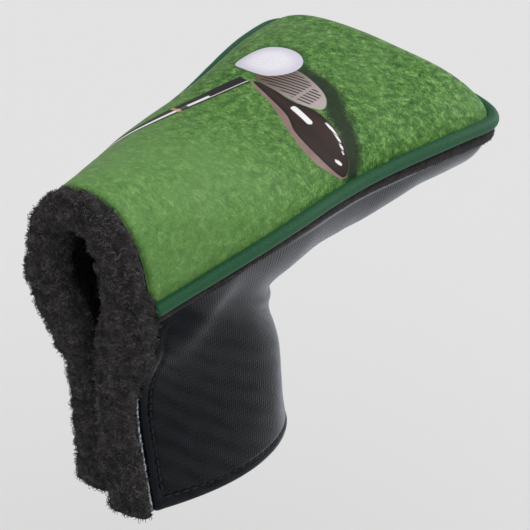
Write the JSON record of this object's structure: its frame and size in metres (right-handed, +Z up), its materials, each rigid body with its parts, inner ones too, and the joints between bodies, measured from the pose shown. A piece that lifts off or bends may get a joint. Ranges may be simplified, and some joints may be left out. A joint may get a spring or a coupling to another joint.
{
  "type": "putter head cover",
  "caption": "Soft blade putter head cover: fleece-lined L-shaped pocket with a printed crown, piped seam and a neck that opens along a slit at the heel.",
  "frame": {"origin": "where the club's shaft leaves the neck, on the plane of the bottom hem", "axes": "+X towards the toe, +Y towards the far side, +Z up, away from the shaft"},
  "size_m": [0.1356, 0.0746, 0.0994],
  "materials": {
    "print_fabric": "smooth coated cloth with a printed turf, ball and club scene",
    "green_binding": "matte woven binding",
    "filler_cord": "plain",
    "black_trim": "brushed",
    "carbon_panel": "synthetic leather embossed with a fine carbon-fibre weave, soft sheen",
    "foam": "open-cell padding",
    "fleece": "curly sherpa pile",
    "thread": "bonded thread",
    "magnet_plate": "nickel plated"
  },
  "bodies": {
    "pocket": {"arch_lip": "fleece", "far_front_hem_thread": "thread", "far_side_foam": "foam", "far_side_lining": "fleece", "far_side_panel": "carbon_panel", "near_front_hem_thread": "thread", "near_side_foam": "foam", "near_side_lining": "fleece", "near_side_panel": "carbon_panel", "piping_cord": "filler_cord", "piping_cover": "green_binding", "printed_top_panel": "print_fabric", "seam_welt": "black_trim", "top_foam": "foam", "top_lining": "fleece"},
    "near_flap": {"near_flap_foam": "foam", "near_flap_lining": "fleece", "near_flap_lip": "fleece", "near_flap_panel": "carbon_panel", "near_hem_thread": "thread", "near_lower_magnet": "magnet_plate", "near_rim_thread": "thread", "near_upper_magnet": "magnet_plate"},
    "far_flap": {"far_flap_foam": "foam", "far_flap_lining": "fleece", "far_flap_lip": "fleece", "far_flap_panel": "carbon_panel", "far_hem_thread": "thread", "far_lower_magnet": "magnet_plate", "far_rim_thread": "thread", "far_upper_magnet": "magnet_plate"}
  },
  "joints": [
    {"name": "near_flap_fold", "type": "hinge", "parent": "pocket", "child": "near_flap", "pos_m": [-0.013, -0.026, 0.03125], "axis": [-0.5578, 0, 0.83], "range_deg": [0, 40], "stiffness_Nm_per_rad": 0.04, "springref_deg": -8.59},
    {"name": "far_flap_fold", "type": "hinge", "parent": "pocket", "child": "far_flap", "pos_m": [-0.013, 0.026, 0.03125], "axis": [0.5578, 0, -0.83], "range_deg": [0, 40], "stiffness_Nm_per_rad": 0.04, "springref_deg": -8.59}
  ]
}
